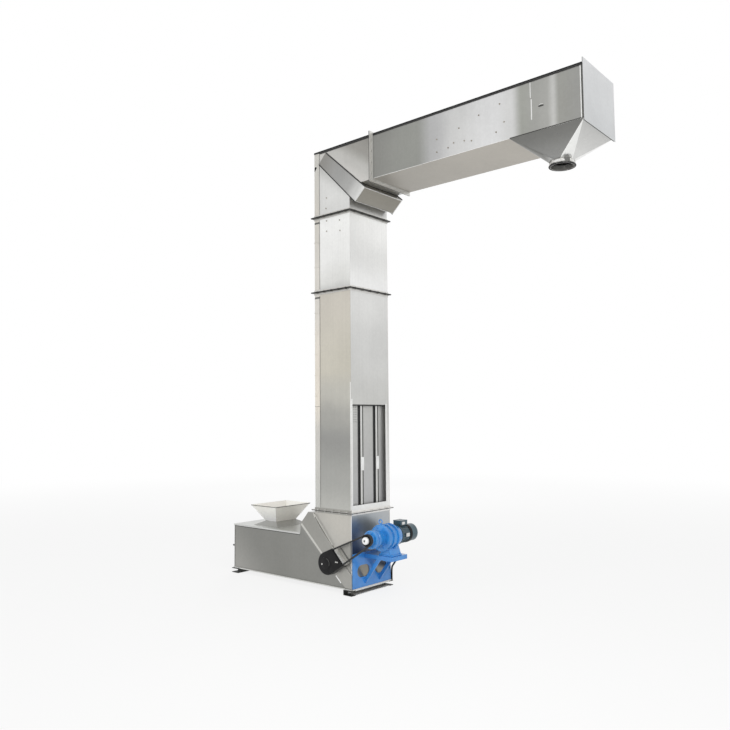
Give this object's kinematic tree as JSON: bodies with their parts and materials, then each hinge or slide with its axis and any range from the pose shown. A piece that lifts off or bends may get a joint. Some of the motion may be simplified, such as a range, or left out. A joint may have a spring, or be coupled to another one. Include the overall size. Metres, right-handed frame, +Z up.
{
  "type": "z-type bucket elevator",
  "caption": "Z-shaped enclosed bucket elevator: level boot with feed hopper, upright column and level top duct with a round discharge, driven by a geared motor and V-belts.",
  "frame": {"origin": "on the floor, at the centre of the four floor anchor holes, which is the boot's centre", "axes": "+Z up, +X from the boot's tail end towards the discharge, +Y away from the belt drive"},
  "size_m": [4.3515, 0.7485, 4.605],
  "materials": {
    "casing_steel": "satin",
    "ivory_paint": "satin",
    "pale_steel": "satin",
    "dark_paint": "satin",
    "zinc_bolts": "satin",
    "black_rubber": "matte",
    "lining_plastic": "satin",
    "rail_steel": "satin",
    "white_paint": "gloss",
    "machined_steel": "satin",
    "wheel_iron": "matte",
    "bearing_iron": "matte",
    "bucket_plastic": "satin",
    "blue_paint": "gloss",
    "slate_paint": "satin",
    "rotor_steel": "satin"
  },
  "bodies": {
    "frame": {"boot_side_near": "casing_steel", "boot_side_far": "casing_steel", "boot_floor": "casing_steel", "boot_tail_plate": "casing_steel", "boot_end_plates": "casing_steel", "boot_top_cover": "casing_steel", "lower_corner_hood": "casing_steel", "lower_corner_covers": "casing_steel", "column_lower_casing": "casing_steel", "column_front_panel": "casing_steel", "column_upper_casing": "casing_steel", "elbow_casing": "casing_steel", "upper_corner_hood": "casing_steel", "upper_corner_covers": "casing_steel", "duct_casing": "casing_steel", "top_covers": "casing_steel", "outlet_hopper": "casing_steel", "inlet_neck": "casing_steel", "section_flanges": "casing_steel", "base_rails": "casing_steel", "rear_covers": "ivory_paint", "inlet_hopper": "ivory_paint", "duct_end_plate": "pale_steel", "outlet_spigot": "pale_steel", "outlet_ring": "dark_paint", "foot_channels": "dark_paint", "belt_guard": "dark_paint", "stay_rod": "dark_paint", "flange_bolts": "zinc_bolts", "panel_screws": "zinc_bolts", "flange_gaskets": "black_rubber", "cover_seals": "black_rubber", "drive_belts": "black_rubber", "lining_panels": "lining_plastic", "guide_rails": "rail_steel", "chain_tracks": "rail_steel", "rail_splice_plates": "white_paint", "bucket_chains": "machined_steel", "shaft_bearings": "bearing_iron", "buckets": "bucket_plastic", "reducer_housing": "blue_paint", "motor_bracket": "blue_paint", "lifting_eye": "blue_paint", "motor_body": "slate_paint", "terminal_box": "slate_paint", "fan_cover": "slate_paint"},
    "drive_shaft": {"drive_shaft": "machined_steel", "drive_sprockets": "wheel_iron", "driven_pulley": "wheel_iron"},
    "output": {"output_shaft": "machined_steel", "drive_pulley": "wheel_iron", "pulley_cap": "white_paint"},
    "motor_rotor": {"motor_rotor": "rotor_steel"},
    "takeup": {"takeup_blocks": "bearing_iron"},
    "tail_wheels": {"tail_wheels": "wheel_iron"},
    "lower_guides": {"lower_guide_wheels": "wheel_iron"},
    "upper_guides": {"upper_guide_wheels": "wheel_iron"},
    "upper_corner": {"upper_corner_wheels": "wheel_iron"},
    "head": {"head_wheels": "wheel_iron"},
    "tipping_bucket": {"tipping_bucket": "bucket_plastic"}
  },
  "joints": [
    {"name": "drive_shaft_spin", "type": "hinge", "parent": "frame", "child": "drive_shaft", "pos_m": [0.635, 0, 0.295], "axis": [0, 1, 0], "continuous": true, "deforming": ["bucket_chains"]},
    {"name": "output_spin", "type": "hinge", "parent": "frame", "child": "output", "pos_m": [1.163, 0, 0.572], "axis": [0, 1, 0], "continuous": true},
    {"name": "motor_spin", "type": "hinge", "parent": "frame", "child": "motor_rotor", "pos_m": [1.163, 0, 0.572], "axis": [0, 1, 0], "continuous": true},
    {"name": "tail_takeup", "type": "slide", "parent": "frame", "child": "takeup", "axis": [-1, 0, 0], "range_m": [0, 0.06]},
    {"name": "tail_spin", "type": "hinge", "parent": "takeup", "child": "tail_wheels", "pos_m": [-0.56547, 0, 0.295], "axis": [0, 1, 0], "continuous": true},
    {"name": "lower_guide_spin", "type": "hinge", "parent": "frame", "child": "lower_guides", "pos_m": [0.485, 0, 0.495], "axis": [0, 1, 0], "continuous": true},
    {"name": "upper_guide_spin", "type": "hinge", "parent": "frame", "child": "upper_guides", "pos_m": [0.835, 0, 4.13], "axis": [0, 1, 0], "continuous": true},
    {"name": "upper_corner_spin", "type": "hinge", "parent": "frame", "child": "upper_corner", "pos_m": [0.685, 0, 4.33], "axis": [0, 1, 0], "continuous": true},
    {"name": "head_spin", "type": "hinge", "parent": "frame", "child": "head", "pos_m": [3.143, 0, 4.33], "axis": [0, 1, 0], "continuous": true},
    {"name": "bucket_tip", "type": "hinge", "parent": "frame", "child": "tipping_bucket", "pos_m": [2.94665, 0, 4.205], "axis": [0, 1, 0], "range_deg": [0, 110]}
  ],
  "couplings": [
    {"joint": "output_spin", "follows": "drive_shaft_spin", "ratio": 1.8929},
    {"joint": "motor_spin", "follows": "drive_shaft_spin", "ratio": 20.821},
    {"joint": "tail_spin", "follows": "drive_shaft_spin", "ratio": 1},
    {"joint": "lower_guide_spin", "follows": "drive_shaft_spin", "ratio": -1.6667},
    {"joint": "upper_guide_spin", "follows": "drive_shaft_spin", "ratio": -1.6667},
    {"joint": "upper_corner_spin", "follows": "drive_shaft_spin", "ratio": 1},
    {"joint": "head_spin", "follows": "drive_shaft_spin", "ratio": 1}
  ]
}
